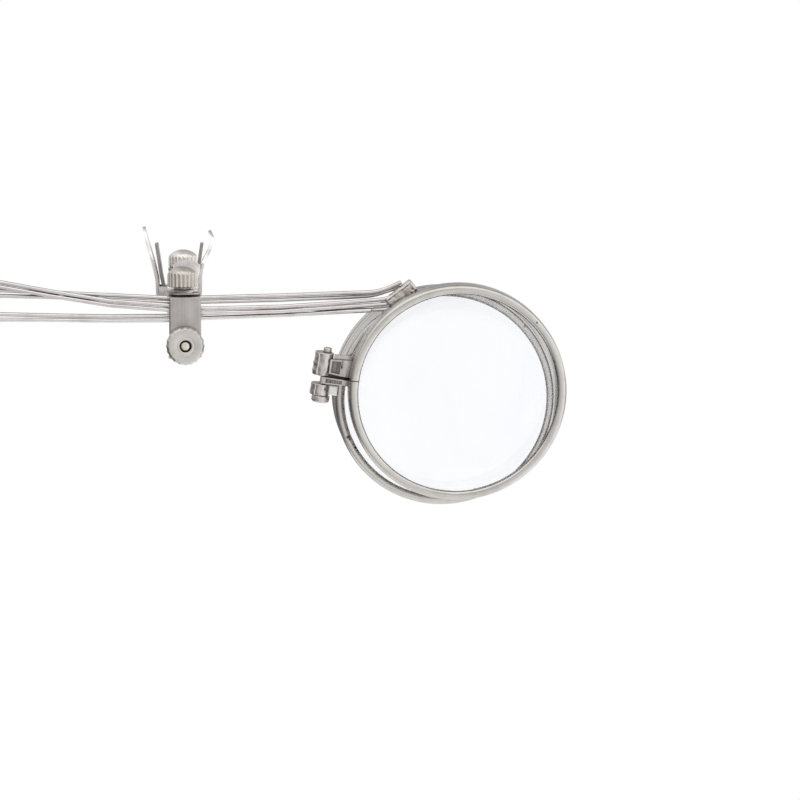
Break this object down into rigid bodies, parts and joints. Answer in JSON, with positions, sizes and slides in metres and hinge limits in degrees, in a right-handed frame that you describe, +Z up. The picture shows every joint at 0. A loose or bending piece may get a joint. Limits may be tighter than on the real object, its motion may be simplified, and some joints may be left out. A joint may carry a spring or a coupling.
{
  "type": "clip-on eyeglass loupe",
  "caption": "Clip-on loupe for spectacles: spring clip, swinging link with knurled pivots, sliding wire arm and hinged magnifier lenses in metal rims.",
  "frame": {"origin": "middle of the gap between the two jaws, where the temple of the spectacles is gripped", "axes": "+X from the clip towards the lenses, +Y towards the wearer, +Z up"},
  "size_m": [0.0861, 0.0206, 0.0367],
  "materials": {
    "plated_rim": "satin nickel plate",
    "spring_wire": "drawn wire, nickel plated",
    "plated_sheet": "brushed nickel plate",
    "plated_knob": "knurled, nickel plated",
    "spring_steel": "spring steel",
    "solder": "soldered, rough",
    "brass": "turned",
    "glass": "polished"
  },
  "bodies": {
    "clip": {"clip_jaw_right": "plated_sheet", "clip_pin": "plated_sheet", "clip_spring": "spring_steel", "rear_pivot_post": "plated_sheet", "rear_friction_washer": "spring_steel"},
    "lever": {"clip_jaw_left": "plated_sheet"},
    "link": {"link_strap": "plated_sheet"},
    "rear_knob": {"rear_pivot_knob": "plated_knob"},
    "clamp": {"clamp_back_plate": "plated_sheet", "clamp_front_plate": "plated_sheet", "clamp_screw": "brass", "front_pivot_post": "plated_sheet", "front_friction_washer": "spring_steel"},
    "front_knob": {"front_pivot_knob": "plated_knob"},
    "nut": {"clamp_nut": "plated_knob"},
    "arm": {"arm_wire_upper": "spring_wire", "arm_wire_middle": "spring_wire", "arm_wire_lower": "spring_wire", "wire_ferrule": "solder", "rear_lens_rim": "plated_rim", "rear_lens": "glass", "rear_lens_retainer": "spring_wire", "rear_hinge_leaf": "plated_sheet", "hinge_pin": "plated_sheet"},
    "front_glass": {"front_lens_rim": "plated_rim", "front_lens": "glass", "front_lens_retainer": "spring_wire", "front_hinge_leaf": "plated_sheet"}
  },
  "joints": [
    {"name": "clip_open", "type": "hinge", "parent": "clip", "child": "lever", "pos_m": [0, 0, 0.0062], "axis": [0, 1, 0], "range_deg": [-8, 18], "stiffness_Nm_per_rad": 0.04, "springref_deg": -17.19, "deforming": ["clip_spring"]},
    {"name": "link_swing", "type": "hinge", "parent": "clip", "child": "link", "pos_m": [0.0006, -0.006, 0.0099], "axis": [0, 0, 1], "range_deg": [-40, 40]},
    {"name": "rear_knob_turn", "type": "hinge", "parent": "clip", "child": "rear_knob", "pos_m": [0.0006, -0.006, 0.0107], "axis": [0, 0, 1], "range_deg": [0, 360]},
    {"name": "clamp_swivel", "type": "hinge", "parent": "link", "child": "clamp", "pos_m": [0.0006, -0.014, 0.0075], "axis": [0, 0, 1], "range_deg": [-40, 40]},
    {"name": "front_knob_turn", "type": "hinge", "parent": "clamp", "child": "front_knob", "pos_m": [0.0006, -0.014, 0.0088], "axis": [0, 0, 1], "range_deg": [0, 360]},
    {"name": "clamp_nut_turn", "type": "hinge", "parent": "clamp", "child": "nut", "pos_m": [0.00092, -0.01528, 0.00042], "axis": [0.0523, -0.9986, 0], "range_deg": [0, 360]},
    {"name": "arm_slide", "type": "slide", "parent": "clamp", "child": "arm", "axis": [0.9986, 0.0523, 0], "range_m": [-0.008, 0.004]},
    {"name": "lens_flip", "type": "hinge", "parent": "arm", "child": "front_glass", "pos_m": [0.01908, -0.01356, -0.00379], "axis": [-0.151, 0.087, -0.9847], "range_deg": [0, 110]}
  ]
}
